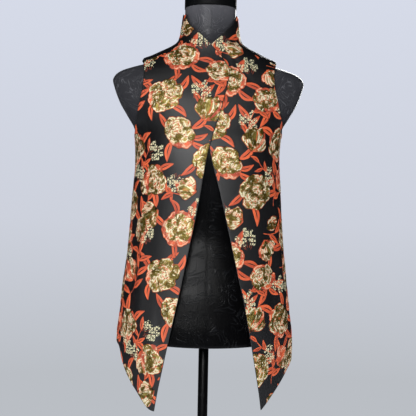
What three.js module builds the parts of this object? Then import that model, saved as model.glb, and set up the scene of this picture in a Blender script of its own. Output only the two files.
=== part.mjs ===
import * as THREE from 'three';

// A sleeveless wrap-front brocade vest standing on a limbless dress form with a round-based stand.
// Millimetres. The front faces -Y, +Z is up, the floor is z = 0 and the pole stands on the Z axis.

// ---- Driving sizes ----
const CLOTH = 2;                // wall of the brocade with its backing
const SEAM_GAP = 0.3;           // space between pieces that are sewn together
const SEAT_GAP = 0.3;           // space between hard pieces that rest on each other
const WRAP_LIFT = 2.7;          // how far the upper front lies over the lower one
const SPREAD = 1.5;             // widens the turn angle sideways, so that steps stay even round a flat body
const SQUARENESS = 2.3;         // 2 is an ellipse, more is squarer
const SEAM_TURN = 78;           // degrees round from the middle front to the shoulder and collar seams
const SIDE_TURN = 100;          // degrees round from the middle front to the side seams
const LOWER_ARMHOLE_TRIM = 2.5; // degrees that the lower front is narrower at the armhole
const NECK_SEAM_Z = 1398.3;     // where the back collar is sewn to the back
const COLLAR_TOP_Z = 1455;
const SHOULDER_EDGE_Z = 1363;   // outer end of the shoulder seam
const SKIRT_TOP_Z = 900;        // below this the rows of a panel follow its hem
const FORM_BOTTOM_Z = 810;      // at the sides; the bottom edge dips in the middle of the front and back
const FORM_DIP = 8;
const NECK_TOP_Z = 1462;
const CAP = { half: 51.5, front: 68.5, back: 33.5, mid: 18, thick: 38, edge: 5 };
const POLE = { radius: 10, sides: 32, foot: 12 };
const BASE = { radius: 180, edge: 6, rise: 10, hubRadius: 26, hubTop: 40, socketClearance: 0.3 };

// Dress form sections: half width, depth ahead of and behind the pole, and how far the widest line is ahead.
const FORM_SECTIONS = [
  { z: 810, half: 159, front: 108, back: 117, mid: 0 },
  { z: 813, half: 162, front: 111, back: 120, mid: 0 },
  { z: 835, half: 164.5, front: 111, back: 122, mid: 0 },
  { z: 865, half: 161.5, front: 109, back: 121, mid: 0 },
  { z: 900, half: 155, front: 106, back: 116, mid: 0 },
  { z: 960, half: 132, front: 95, back: 98, mid: 0 },
  { z: 1010, half: 117, front: 88, back: 85, mid: 0 },
  { z: 1070, half: 121, front: 94, back: 86, mid: 0 },
  { z: 1130, half: 132, front: 112, back: 93, mid: 0 },
  { z: 1165, half: 138, front: 121, back: 98, mid: 0 },
  { z: 1200, half: 140.5, front: 118.5, back: 102, mid: 0 },
  { z: 1225, half: 147.5, front: 113, back: 104.5, mid: 0 },
  { z: 1250, half: 162, front: 108, back: 105.5, mid: 0 },
  { z: 1277, half: 177.5, front: 101, back: 104, mid: 0 },
  { z: 1308, half: 189, front: 91, back: 98.5, mid: 0 },
  { z: 1319, half: 191.5, front: 86.5, back: 95, mid: 0 },
  { z: 1328, half: 187.5, front: 82.5, back: 91.5, mid: 0 },
  { z: 1336, half: 177.5, front: 79.5, back: 87.5, mid: 0 },
  { z: 1344, half: 155, front: 76, back: 82.5, mid: 0 },
  { z: 1350, half: 134, front: 74, back: 78.5, mid: 0 },
  { z: 1363, half: 113.5, front: 70, back: 70, mid: 1 },
  { z: 1376, half: 92, front: 67, back: 62, mid: 2 },
  { z: 1383, half: 80, front: 65, back: 58, mid: 2.5 },
  { z: 1390, half: 68.8, front: 63.5, back: 54.5, mid: 3.5 },
  { z: 1394, half: 63.5, front: 62.5, back: 52, mid: 4 },
  { z: 1400, half: 58.5, front: 61.5, back: 49.5, mid: 5 },
  { z: 1410, half: 54.5, front: 60.5, back: 46.5, mid: 7 },
  { z: 1430, half: 51.5, front: 61.5, back: 40, mid: 11 },
  { z: 1455, half: 50.5, front: 65, back: 34, mid: 16 },
  { z: 1480, half: 50.5, front: 70, back: 30, mid: 20 },
];

// Outside of the vest, as if it ran all the way round; the panels are cut from this skin.
const VEST_SECTIONS = [
  { z: 680, half: 172, front: 117, back: 128, mid: 0 },
  { z: 736, half: 173, front: 120, back: 129, mid: 0 },
  { z: 800, half: 174, front: 122, back: 130, mid: 0 },
  { z: 821, half: 173.5, front: 122.5, back: 129.5, mid: 0 },
  { z: 864, half: 168.6, front: 123.5, back: 127.5, mid: 0 },
  { z: 899, half: 165, front: 124, back: 125, mid: 0 },
  { z: 935, half: 161.2, front: 124, back: 120, mid: 0 },
  { z: 972, half: 157.3, front: 124, back: 114, mid: 0 },
  { z: 1005, half: 153.8, front: 124.5, back: 109, mid: 0 },
  { z: 1048, half: 151, front: 125, back: 105, mid: 0 },
  { z: 1084, half: 148.5, front: 126, back: 103, mid: 0 },
  { z: 1114, half: 146.6, front: 126.7, back: 103, mid: 0 },
  { z: 1142, half: 144.6, front: 127.2, back: 104, mid: 0 },
  { z: 1170, half: 143.8, front: 127.4, back: 106, mid: 0 },
  { z: 1200, half: 145.4, front: 124, back: 108.5, mid: 0 },
  { z: 1222, half: 150, front: 119, back: 110, mid: 0 },
  { z: 1243, half: 162, front: 114.5, back: 111, mid: 0 },
  { z: 1277, half: 182, front: 107, back: 110, mid: 0 },
  { z: 1298, half: 190.5, front: 101, back: 107, mid: 0 },
  { z: 1319, half: 196, front: 93.5, back: 101, mid: 0 },
  { z: 1332, half: 190, front: 88.5, back: 95, mid: 0 },
  { z: 1347, half: 162, front: 82.5, back: 86, mid: 0 },
  { z: 1357, half: 142, front: 79, back: 79, mid: 1 },
  { z: 1362, half: 133, front: 77.5, back: 75.5, mid: 1 },
  { z: 1366.3, half: 121.5, front: 76.2, back: 72.5, mid: 1 },
  { z: 1374.7, half: 103.5, front: 74, back: 67, mid: 2 },
  { z: 1385.6, half: 80.6, front: 71.7, back: 60.5, mid: 3 },
  { z: 1393.2, half: 69, front: 70, back: 57, mid: 4 },
  { z: 1400, half: 63.5, front: 69, back: 55, mid: 5 },
  { z: 1407, half: 60.6, front: 67.8, back: 52.5, mid: 6 },
  { z: 1421, half: 58.6, front: 66.8, back: 48, mid: 9 },
  { z: 1439, half: 56.2, front: 68, back: 43, mid: 12.5 },
  { z: 1455, half: 54, front: 70, back: 39, mid: 16 },
];

// Free edge of the upper front, from its point at the hem to the collar: how far it has crossed the middle.
const UPPER_EDGE = [
  { z: 681, across: -97.6 },
  { z: 736.2, across: -86.1 },
  { z: 810, across: -72 },
  { z: 908, across: -53.8 },
  { z: 986.9, across: -38.5 },
  { z: 1086.4, across: -19.9 },
  { z: 1159.6, across: -8.7 },
  { z: 1201.2, across: 1.5 },
  { z: 1238, across: 13 },
  { z: 1276.2, across: 23.6 },
  { z: 1313.6, across: 32.8 },
  { z: 1326.6, across: 34.9 },
  { z: 1334.7, across: 33.7 },
  { z: 1343.5, across: 29.7 },
  { z: 1360.4, across: 18.1 },
  { z: 1374.7, across: 6.3 },
  { z: 1392.5, across: -9.2 },
  { z: 1407.9, across: -24.7 },
  { z: 1424.5, across: -41.7 },
  { z: 1436, across: -47.7 },
  { z: 1450, across: -49.7 },
];

// Free edge of the lower front, on the other side; above the crossing the upper front hides it.
const LOWER_EDGE = [
  { z: 681, across: -105 },
  { z: 715.7, across: -97.9 },
  { z: 756.5, across: -90.9 },
  { z: 809, across: -81.9 },
  { z: 895.3, across: -66.2 },
  { z: 942.8, across: -54.3 },
  { z: 1040.1, across: -31.4 },
  { z: 1104.1, across: -15.8 },
  { z: 1157.8, across: -0.8 },
  { z: 1201.2, across: 8 },
  { z: 1238, across: 14.5 },
  { z: 1276.2, across: 22.3 },
  { z: 1313.6, across: 31.5 },
  { z: 1326.6, across: 33.6 },
  { z: 1334.7, across: 32.4 },
  { z: 1343.5, across: 28.4 },
  { z: 1360.4, across: 16.8 },
  { z: 1374.7, across: 8 },
  { z: 1387, across: -1.3 },
  { z: 1405.8, across: -20.5 },
  { z: 1424.5, across: -39.6 },
  { z: 1436, across: -47.3 },
  { z: 1450, across: -51.6 },
];

// Armhole, in degrees round from the middle front: the front panel's edge and the back panel's.
const ARMHOLE = [
  { z: 1205, front: 100, back: 100 },
  { z: 1206.5, front: 91, back: 106 },
  { z: 1210, front: 82, back: 111 },
  { z: 1215, front: 74.5, back: 114 },
  { z: 1222, front: 68.2, back: 118 },
  { z: 1243, front: 56.3, back: 130 },
  { z: 1262, front: 51.3, back: 134.6 },
  { z: 1277, front: 49, back: 136.5 },
  { z: 1298, front: 47.9, back: 137 },
  { z: 1319, front: 48.9, back: 135.6 },
  { z: 1332, front: 51.1, back: 132.8 },
  { z: 1347, front: 57.6, back: 124.5 },
  { z: 1357, front: 67.1, back: 113 },
  { z: 1360.5, front: 73.1, back: 104 },
  { z: 1361.7, front: 76.5, back: 91 },
  { z: SHOULDER_EDGE_Z, front: SEAM_TURN, back: SEAM_TURN },
];

// Hem heights, in degrees round from the middle front; the pieces' own points hang lowest.
const UPPER_HEM = [
  { turn: 31.5, z: 681 },
  { turn: 35, z: 683.5 },
  { turn: 46.6, z: 717.8 },
  { turn: 58.1, z: 751.2 },
  { turn: 69.5, z: 783 },
  { turn: 78, z: 797 },
  { turn: 100, z: 803 },
];
const LOWER_HEM = [
  { turn: 34, z: 681 },
  { turn: 40.7, z: 700.4 },
  { turn: 52.3, z: 731.8 },
  { turn: 65, z: 757 },
  { turn: 78, z: 776 },
  { turn: 100, z: 793 },
];

// Soft folds of the hanging cloth. The turn is at the fold's middle height.
// Lean is in degrees for each 100 mm up.
const FOLDS = [
  { turn: -45, lean: -1, width: 5, bottom: 790, top: 1080, height: 3 },
  { turn: -57, lean: 0, width: 6, bottom: 730, top: 1130, height: -4 },
  { turn: -72, lean: 1, width: 7, bottom: 640, top: 960, height: -2.5 },
  { turn: -34, lean: -1, width: 6, bottom: 600, top: 900, height: 2.5 },
  { turn: 44, lean: 0, width: 6, bottom: 800, top: 1100, height: -4 },
  { turn: 56, lean: 1, width: 5, bottom: 830, top: 1070, height: 3 },
  { turn: 72, lean: 0, width: 6, bottom: 620, top: 980, height: 3 },
  { turn: 36, lean: 1, width: 5, bottom: 600, top: 860, height: 2 },
  { turn: -12, lean: 9, width: 5, bottom: 1270, top: 1410, height: -2 },
  { turn: 15, lean: -8, width: 5, bottom: 1290, top: 1420, height: -1.5 },
  { turn: 118, lean: 1, width: 8, bottom: 700, top: 1120, height: 4 },
  { turn: 146, lean: 2, width: 9, bottom: 720, top: 1180, height: -4 },
  { turn: 178, lean: 0, width: 10, bottom: 680, top: 1080, height: 3 },
  { turn: 214, lean: -2, width: 9, bottom: 730, top: 1160, height: -4 },
  { turn: 243, lean: -1, width: 8, bottom: 690, top: 1100, height: 4 },
];
const BUST = { turn: 27, turnWidth: 13, z: 1172, zWidth: 42, height: 5 };

// Rows of the panels above the skirt, closest where an edge turns quickly.
const BODY_ROWS = [935, 970, 1005, 1040, 1075, 1110, 1142, 1170, 1190];
const ARMHOLE_ROWS = [1205, 1206.5, 1210, 1216, 1224, 1243, 1265, 1290, 1310, 1324, 1334, 1345];
const SHOULDER_ROWS = [1354, 1360.5, 1361.7, SHOULDER_EDGE_Z, 1368, 1376, 1385, 1393];
const FRONT_COLLAR_ROWS = [1398, 1403, 1409, 1417, 1426, 1436, 1447];
const BACK_COLLAR_ROWS = [NECK_SEAM_Z, 1403, 1409, 1417, 1426, 1440, COLLAR_TOP_Z];
const FORM_ROWS = [FORM_BOTTOM_Z, 813, 824, 840, 868, 900, 930, 960, 985, 1010, 1040, 1070, 1100, 1130, 1165, 1200,
  1225, 1250, 1270, 1289, 1306, 1315, 1320, 1324, 1328, 1332, 1336, 1340, 1344, 1350, 1356, 1363, 1369, 1376,
  1383, 1390, 1394, 1400, 1410, 1430, 1455, NECK_TOP_Z];
const SKIRT_STEPS = 8;
const PANEL_COLUMNS = 13;
const BACK_COLUMNS = 21;
const COLLAR_COLUMNS = 17;
const FORM_SIDES = 32;

const MATERIALS = {
  brocade: new THREE.MeshStandardMaterial({ color: 0x8a6a34, roughness: 0.5, metalness: 0.25 }),
  satin: new THREE.MeshStandardMaterial({ color: 0x17171a, roughness: 0.45, metalness: 0 }),
  jersey: new THREE.MeshStandardMaterial({ color: 0x232427, roughness: 0.8, metalness: 0 }),
  blackPlastic: new THREE.MeshStandardMaterial({ color: 0x121314, roughness: 0.4, metalness: 0 }),
  blackSteel: new THREE.MeshStandardMaterial({ color: 0x0e0e10, roughness: 0.35, metalness: 0.6 }),
};

// ---- Curves through short tables ----

const radians = THREE.MathUtils.degToRad;

// Slope at each row of a table, held so that the curve never overshoots its rows.
function slopes(at, value) {
  const steps = at.slice(1).map((next, i) => (value[i + 1] - value[i]) / (next - at[i]));
  return at.map((_, i) => {
    if (i === 0) return steps[0];
    if (i === at.length - 1) return steps[i - 1];
    const before = steps[i - 1];
    const after = steps[i];
    return before * after <= 0 ? 0 : (2 * before * after) / (before + after);
  });
}

// A smooth function through two columns of a table.
function smooth(rows, key, column) {
  const at = rows.map((row) => row[key]);
  const value = rows.map((row) => row[column]);
  const slope = slopes(at, value);
  return (x) => {
    const place = THREE.MathUtils.clamp(x, at[0], at[at.length - 1]);
    const next = Math.max(1, at.findIndex((edge) => edge >= place));
    const i = next - 1;
    const span = at[next] - at[i];
    const t = (place - at[i]) / span;
    const start = (1 + 2 * t) * (1 - t) ** 2 * value[i] + t * (1 - t) ** 2 * span * slope[i];
    const end = t ** 2 * (3 - 2 * t) * value[next] - t ** 2 * (1 - t) * span * slope[next];
    return start + end;
  };
}

function sectionsOf(rows) {
  const half = smooth(rows, 'z', 'half');
  const front = smooth(rows, 'z', 'front');
  const back = smooth(rows, 'z', 'back');
  const mid = smooth(rows, 'z', 'mid');
  return (z) => ({ half: half(z), front: front(z), back: back(z), mid: mid(z) });
}

const ramp = (x, from, to) => THREE.MathUtils.smoothstep(x, from, to);
const bell = (x) => Math.exp(-x * x);

// ---- Skins: a point for each turn angle and height ----

// The point of a rounded-off oval section at a turn angle, 0 at the middle front and 90 on the +X side.
function onSection(section, turn, z, push = 0) {
  const side = SPREAD * Math.sin(radians(turn));
  const ahead = Math.cos(radians(turn));
  const depth = ahead > 0 ? section.front - section.mid : section.back + section.mid;
  const size = (Math.abs(side) / section.half) ** SQUARENESS + (Math.abs(ahead) / depth) ** SQUARENESS;
  const reach = size ** (-1 / SQUARENESS) + push / Math.hypot(side, ahead);
  return new THREE.Vector3(reach * side, -section.mid - reach * ahead, z);
}

// Both mounds of the chest, which the cloth follows.
function bustPush(turn, z) {
  const height = bell((z - BUST.z) / BUST.zWidth) * BUST.height;
  const both = bell((turn - BUST.turn) / BUST.turnWidth) + bell((turn + BUST.turn) / BUST.turnWidth);
  return both * height;
}

function foldPush(turn, z) {
  let push = 0;
  for (const fold of FOLDS) {
    const along = (z - fold.bottom) / (fold.top - fold.bottom);
    if (along <= 0 || along >= 1) continue;
    const middle = fold.turn + (fold.lean * (z - (fold.bottom + fold.top) / 2)) / 100;
    const away = THREE.MathUtils.euclideanModulo(turn - middle + 180, 360) - 180;
    push += fold.height * Math.sin(Math.PI * along) ** 2 * bell(away / fold.width);
  }
  return push;
}

const formSection = sectionsOf(FORM_SECTIONS);
const vestSection = sectionsOf(VEST_SECTIONS);

// The form's lowest rows dip towards the middle of the front and back.
function formSkin(turn, z) {
  const point = onSection(formSection(z), turn, z, bustPush(turn, z));
  point.z -= FORM_DIP * Math.cos(radians(turn)) ** 2 * (1 - ramp(z, FORM_BOTTOM_Z, SKIRT_TOP_Z));
  return point;
}

function vestSkin(turn, z) {
  return onSection(vestSection(z), turn, z, bustPush(turn, z) + foldPush(turn, z));
}

// The way straight out of a skin, from small steps across it and up it.
function outward(skin, turn, z) {
  const step = 0.25;
  const across = skin(turn + step, z).sub(skin(turn - step, z));
  const up = skin(turn, z + step).sub(skin(turn, z - step));
  return across.cross(up).normalize();
}

// The turn angle, on the front half, whose point is a given distance across the middle.
function turnAcross(distance, z) {
  let low = -90;
  let high = 90;
  while (high - low > 0.001) {
    const turn = (low + high) / 2;
    if (vestSkin(turn, z).x < distance) low = turn;
    else high = turn;
  }
  return low;
}

// How many degrees a short distance takes at a turn angle and height.
function degreesFor(distance, turn, z) {
  return distance / vestSkin(turn - 0.5, z).distanceTo(vestSkin(turn + 0.5, z));
}

// ---- Solids ----

function meshOf(name, points, faces, material) {
  const geometry = new THREE.BufferGeometry();
  const numbers = points.flatMap((point) => [point.x, point.y, point.z]);
  geometry.setAttribute('position', new THREE.Float32BufferAttribute(numbers, 3));
  geometry.setIndex(faces);
  geometry.computeVertexNormals();
  const mesh = new THREE.Mesh(geometry, material);
  mesh.name = name;
  return mesh;
}

// A cloth wall over a grid of places on the vest's skin. Rows go up and columns go round with the turn angle.
function wall(name, rows, material, liftAt = () => 0) {
  const columns = rows[0].length;
  const outer = [];
  const inner = [];
  for (const { turn, z } of rows.flat()) {
    const skin = vestSkin(turn, z);
    const out = outward(vestSkin, turn, z);
    const lift = liftAt(turn, z);
    outer.push(skin.clone().addScaledVector(out, lift));
    inner.push(skin.clone().addScaledVector(out, lift - CLOTH));
  }
  const faces = [];
  const quad = (a, b, c, d) => faces.push(a, b, c, a, c, d);
  const outside = (row, column) => row * columns + column;
  const inside = (row, column) => outer.length + row * columns + column;
  const lastRow = rows.length - 1;
  const lastColumn = columns - 1;
  for (let r = 0; r < lastRow; r += 1) {
    for (let c = 0; c < lastColumn; c += 1) {
      quad(outside(r, c), outside(r, c + 1), outside(r + 1, c + 1), outside(r + 1, c));
      quad(inside(r, c), inside(r + 1, c), inside(r + 1, c + 1), inside(r, c + 1));
    }
    quad(outside(r, 0), outside(r + 1, 0), inside(r + 1, 0), inside(r, 0));
    quad(outside(r, lastColumn), inside(r, lastColumn), inside(r + 1, lastColumn), outside(r + 1, lastColumn));
  }
  for (let c = 0; c < lastColumn; c += 1) {
    quad(outside(0, c), inside(0, c), inside(0, c + 1), outside(0, c + 1));
    quad(outside(lastRow, c), outside(lastRow, c + 1), inside(lastRow, c + 1), inside(lastRow, c));
  }
  return meshOf(name, [...outer, ...inner], faces, material);
}

// A full body through rings of points, closed by a fan at the bottom and the top.
function loft(name, rings, material) {
  const sides = rings[0].length;
  const points = rings.flat();
  // The fan's middle is level with the ring's widest points.
  const middleOf = (edge) => new THREE.Vector3(0, edge[sides / 4].y, edge[sides / 4].z);
  const bottom = points.push(middleOf(rings[0])) - 1;
  const top = points.push(middleOf(rings[rings.length - 1])) - 1;
  const last = (rings.length - 1) * sides;
  const faces = [];
  for (let side = 0; side < sides; side += 1) {
    const next = (side + 1) % sides;
    for (let start = 0; start < last; start += sides) {
      faces.push(start + side, start + next, start + sides + next);
      faces.push(start + side, start + sides + next, start + sides + side);
    }
    faces.push(bottom, next, side, top, last + side, last + next);
  }
  return meshOf(name, points, faces, material);
}

function ring(skin, z) {
  return Array.from({ length: FORM_SIDES }, (_, i) => skin((360 * i) / FORM_SIDES, z));
}

// ---- Vest panels ----

const armholeFront = smooth(ARMHOLE, 'z', 'front');
const armholeBack = smooth(ARMHOLE, 'z', 'back');

// A row of a front panel at a height, for the side at +X: from its free edge to its armhole or seam.
function frontRow(edge, z, side) {
  const start = turnAcross(side * -edge(z), z) * side;
  const trim = side > 0 ? LOWER_ARMHOLE_TRIM * ramp(z, 1215, 1260) * (1 - ramp(z, 1330, SHOULDER_EDGE_Z)) : 0;
  const limit = z < SHOULDER_EDGE_Z ? armholeFront(z) - trim : SEAM_TURN;
  const end = limit - degreesFor(SEAM_GAP / 2, limit * side, z);
  return Array.from({ length: PANEL_COLUMNS }, (_, i) => {
    const turn = THREE.MathUtils.lerp(start, end, i / (PANEL_COLUMNS - 1));
    return { turn: side * turn, z };
  });
}

// Rows from the hem up to the skirt's top, each less slanted than the one below.
function skirtRows(hemRow, topRow) {
  return Array.from({ length: SKIRT_STEPS }, (_, step) => {
    const t = step / SKIRT_STEPS;
    return hemRow.map((low, i) => ({
      turn: THREE.MathUtils.lerp(low.turn, topRow[i].turn, t),
      z: THREE.MathUtils.lerp(low.z, topRow[i].z, t),
    }));
  });
}

// One front with its grown-on half collar. Side is -1 for the upper front and +1 for the lower one.
function front(name, edgeTable, hemTable, side, liftAt) {
  const edge = smooth(edgeTable, 'z', 'across');
  const hem = smooth(hemTable, 'turn', 'z');
  const topRow = frontRow(edge, SKIRT_TOP_Z, side);
  const hemStart = turnAcross(side * -edge(hemTable[0].z), hemTable[0].z);
  const hemRow = topRow.map(({ turn }, i) => {
    const at = THREE.MathUtils.lerp(hemStart, topRow[PANEL_COLUMNS - 1].turn, i / (PANEL_COLUMNS - 1));
    return { turn: at, z: hem(Math.abs(at)) };
  });
  const heights = [...BODY_ROWS, ...ARMHOLE_ROWS, ...SHOULDER_ROWS, ...FRONT_COLLAR_ROWS];
  const rows = [...skirtRows(hemRow, topRow), topRow, ...heights.map((z) => frontRow(edge, z, side))];
  const rightwards = side > 0 ? rows : rows.map((row) => [...row].reverse());
  return wall(name, rightwards, MATERIALS.brocade, liftAt);
}

// The upper front stands off by its own thickness where it lies over the lower one.
function wrapLift(turn, z) {
  const across = ramp(turn, -50, -24);
  const along = ramp(z, 1050, 1150) * (1 - ramp(z, 1400, 1440));
  return WRAP_LIFT * across * along;
}

function backRow(z) {
  const limit = z < SHOULDER_EDGE_Z ? armholeBack(z) : SEAM_TURN;
  const start = limit + degreesFor(SEAM_GAP / 2, limit, z);
  return Array.from({ length: BACK_COLUMNS }, (_, i) => {
    return { turn: THREE.MathUtils.lerp(start, 360 - start, i / (BACK_COLUMNS - 1)), z };
  });
}

// The back's hem runs level from one side seam to the other, a little lower on the lower front's side.
function back() {
  const topRow = backRow(SKIRT_TOP_Z);
  const hemRow = topRow.map(({ turn }) => {
    const round = ramp(turn, SIDE_TURN, 360 - SIDE_TURN);
    return { turn, z: THREE.MathUtils.lerp(LOWER_HEM.at(-1).z, UPPER_HEM.at(-1).z, round) };
  });
  const heights = [...BODY_ROWS, ...ARMHOLE_ROWS, ...SHOULDER_ROWS, NECK_SEAM_Z - SEAM_GAP];
  const rows = [...skirtRows(hemRow, topRow), topRow, ...heights.map(backRow)];
  return wall('back', rows, MATERIALS.satin);
}

function backCollar() {
  const rows = BACK_COLLAR_ROWS.map((z) => {
    const start = SEAM_TURN + degreesFor(SEAM_GAP / 2, SEAM_TURN, z);
    return Array.from({ length: COLLAR_COLUMNS }, (_, i) => {
      return { turn: THREE.MathUtils.lerp(start, 360 - start, i / (COLLAR_COLUMNS - 1)), z };
    });
  });
  return wall('collar_back', rows, MATERIALS.satin);
}

// ---- Dress form and stand ----

function formTorso() {
  return loft('form_torso', FORM_ROWS.map((z) => ring(formSkin, z)), MATERIALS.jersey);
}

function neckCap() {
  const bottom = NECK_TOP_Z + SEAT_GAP;
  const top = NECK_TOP_Z + CAP.thick;
  const capRows = [
    { z: bottom, inset: 0 },
    { z: top - CAP.edge, inset: 0 },
    { z: top - 2, inset: 2 },
    { z: top - 0.5, inset: 8 },
    { z: top, inset: 22 },
  ];
  const rings = capRows.map(({ z, inset }) => ring((turn) => onSection(CAP, turn, z, -inset), z));
  return loft('neck_cap', rings, MATERIALS.blackPlastic);
}

// A turned piece from its profile of radius and height, which starts and ends on the axis.
function turned(name, profile, material) {
  const points = profile.map(([radius, z]) => new THREE.Vector2(radius, z));
  const geometry = new THREE.LatheGeometry(points, POLE.sides);
  geometry.rotateX(Math.PI / 2);
  const mesh = new THREE.Mesh(geometry, material);
  mesh.name = name;
  return mesh;
}

// The pole ends just under the form's bottom, which falls away a little towards its dipped edge.
function pole() {
  const { radius, foot } = POLE;
  const fall = (FORM_DIP * radius) / FORM_SECTIONS[0].front;
  const top = FORM_BOTTOM_Z - fall - SEAT_GAP;
  return turned('pole', [[0, foot], [radius, foot], [radius, top], [0, top]], MATERIALS.blackSteel);
}

function base() {
  const { radius, edge, rise, hubRadius, hubTop, socketClearance } = BASE;
  const socket = POLE.radius + socketClearance;
  const profile = [
    [0, 0],
    [radius - 1.5, 0],
    [radius, 1.5],
    [radius, edge - 1.5],
    [radius - 1.5, edge],
    [radius * 0.5, edge + rise * 0.6],
    [hubRadius + 4, edge + rise],
    [hubRadius, edge + rise + 4],
    [hubRadius - 3, hubTop - 2],
    [hubRadius - 5, hubTop],
    [socket, hubTop],
    [socket, POLE.foot - SEAT_GAP],
    [0, POLE.foot - SEAT_GAP],
  ];
  return turned('base', profile, MATERIALS.blackSteel);
}

const vest = new THREE.Group();
vest.add(
  front('front_right', UPPER_EDGE, UPPER_HEM, -1, wrapLift),
  front('front_left', LOWER_EDGE, LOWER_HEM, 1),
  back(),
  backCollar(),
);

const stand = new THREE.Group();
stand.add(formTorso(), neckCap(), pole(), base());

const dressedForm = new THREE.Group();
dressedForm.add(vest, stand);

export default dressedForm;
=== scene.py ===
import math

import bpy
import numpy as np
from mathutils import Matrix, Vector


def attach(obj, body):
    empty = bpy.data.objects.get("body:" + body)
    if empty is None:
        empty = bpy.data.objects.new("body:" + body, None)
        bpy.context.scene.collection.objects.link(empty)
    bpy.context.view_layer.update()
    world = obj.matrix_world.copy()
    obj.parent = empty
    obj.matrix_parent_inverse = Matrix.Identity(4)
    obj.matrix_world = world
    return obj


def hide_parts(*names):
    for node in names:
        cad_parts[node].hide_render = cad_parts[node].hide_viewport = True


# A sleeveless brocade vest, wrapped in front, on a limbless dress form with a pole and a round base.
# Tables and shape functions are in millimetres; meshes are made in metres. The front faces -Y.

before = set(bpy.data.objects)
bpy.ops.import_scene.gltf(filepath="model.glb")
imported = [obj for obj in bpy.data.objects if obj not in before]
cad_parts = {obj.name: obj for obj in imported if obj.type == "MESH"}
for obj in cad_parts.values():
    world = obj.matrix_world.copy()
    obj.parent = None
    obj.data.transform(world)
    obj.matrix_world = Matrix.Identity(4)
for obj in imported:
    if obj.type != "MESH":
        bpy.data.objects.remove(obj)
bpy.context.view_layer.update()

MM = 0.001

# ---- Sizes shared with the frame ----

CLOTH = 1.4            # brocade and lining together
ROUND = CLOTH / 2      # turned edges are half a cloth round
SEAM_ROOM = 0.15 + ROUND
WRAP_LIFT = 2.7
SPREAD = 1.5
SQUARENESS = 2.3
SEAM_TURN = 78
SIDE_TURN = 100
LOWER_ARMHOLE_TRIM = 2.5
NECK_SEAM_Z = 1398.3
COLLAR_TOP_Z = 1455
FRONT_COLLAR_TOP_Z = 1447
SHOULDER_EDGE_Z = 1363
SKIRT_TOP_Z = 900      # below it the rows of a panel slant to its hem
FORM_BOTTOM_Z = 810
FORM_DIP = 8
NECK_TOP_Z = 1462

# Height, half width, depth ahead of and behind the pole, and how far the widest line is ahead.
FORM_SECTIONS = [
    (810, 159, 108, 117, 0), (813, 162, 111, 120, 0), (835, 164.5, 111, 122, 0), (865, 161.5, 109, 121, 0),
    (900, 155, 106, 116, 0), (960, 132, 95, 98, 0), (1010, 117, 88, 85, 0), (1070, 121, 94, 86, 0),
    (1130, 132, 112, 93, 0), (1165, 138, 121, 98, 0), (1200, 140.5, 118.5, 102, 0), (1225, 147.5, 113, 104.5, 0),
    (1250, 162, 108, 105.5, 0), (1277, 177.5, 101, 104, 0), (1308, 189, 91, 98.5, 0), (1319, 191.5, 86.5, 95, 0),
    (1328, 187.5, 82.5, 91.5, 0), (1336, 177.5, 79.5, 87.5, 0), (1344, 155, 76, 82.5, 0), (1350, 134, 74, 78.5, 0),
    (1363, 113.5, 70, 70, 1), (1376, 92, 67, 62, 2), (1383, 80, 65, 58, 2.5), (1390, 68.8, 63.5, 54.5, 3.5),
    (1394, 63.5, 62.5, 52, 4), (1400, 58.5, 61.5, 49.5, 5), (1410, 54.5, 60.5, 46.5, 7), (1430, 51.5, 61.5, 40, 11),
    (1455, 50.5, 65, 34, 16), (1480, 50.5, 70, 30, 20),
]
VEST_SECTIONS = [
    (680, 172, 117, 128, 0), (736, 173, 120, 129, 0), (800, 174, 122, 130, 0), (821, 173.5, 122.5, 129.5, 0),
    (864, 168.6, 123.5, 127.5, 0), (899, 165, 124, 125, 0), (935, 161.2, 124, 120, 0), (972, 157.3, 124, 114, 0),
    (1005, 153.8, 124.5, 109, 0), (1048, 151, 125, 105, 0), (1084, 148.5, 126, 103, 0), (1114, 146.6, 126.7, 103, 0),
    (1142, 144.6, 127.2, 104, 0), (1170, 143.8, 127.4, 106, 0), (1200, 145.4, 124, 108.5, 0),
    (1222, 150, 119, 110, 0), (1243, 162, 114.5, 111, 0), (1277, 182, 107, 110, 0), (1298, 190.5, 101, 107, 0),
    (1319, 196, 93.5, 101, 0), (1332, 190, 88.5, 95, 0), (1347, 162, 82.5, 86, 0), (1357, 142, 79, 79, 1),
    (1362, 133, 77.5, 75.5, 1), (1366.3, 121.5, 76.2, 72.5, 1), (1374.7, 103.5, 74, 67, 2),
    (1385.6, 80.6, 71.7, 60.5, 3), (1393.2, 69, 70, 57, 4), (1400, 63.5, 69, 55, 5), (1407, 60.6, 67.8, 52.5, 6),
    (1421, 58.6, 66.8, 48, 9), (1439, 56.2, 68, 43, 12.5), (1455, 54, 70, 39, 16),
]
# Free edges of the two fronts: height, and how far the edge has crossed the middle.
UPPER_EDGE = [
    (681, -97.6), (736.2, -86.1), (810, -72), (908, -53.8), (986.9, -38.5), (1086.4, -19.9), (1159.6, -8.7),
    (1201.2, 1.5), (1238, 13), (1276.2, 23.6), (1313.6, 32.8), (1326.6, 34.9), (1334.7, 33.7), (1343.5, 29.7),
    (1360.4, 18.1), (1374.7, 6.3), (1392.5, -9.2), (1407.9, -24.7), (1424.5, -41.7), (1436, -47.7), (1450, -49.7),
]
LOWER_EDGE = [
    (681, -105), (715.7, -97.9), (756.5, -90.9), (809, -81.9), (895.3, -66.2), (942.8, -54.3), (1040.1, -31.4),
    (1104.1, -15.8), (1157.8, -0.8), (1201.2, 8), (1238, 14.5), (1276.2, 22.3), (1313.6, 31.5), (1326.6, 33.6),
    (1334.7, 32.4), (1343.5, 28.4), (1360.4, 16.8), (1374.7, 8), (1387, -1.3), (1405.8, -20.5), (1424.5, -39.6),
    (1436, -47.3), (1450, -51.6),
]
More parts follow.
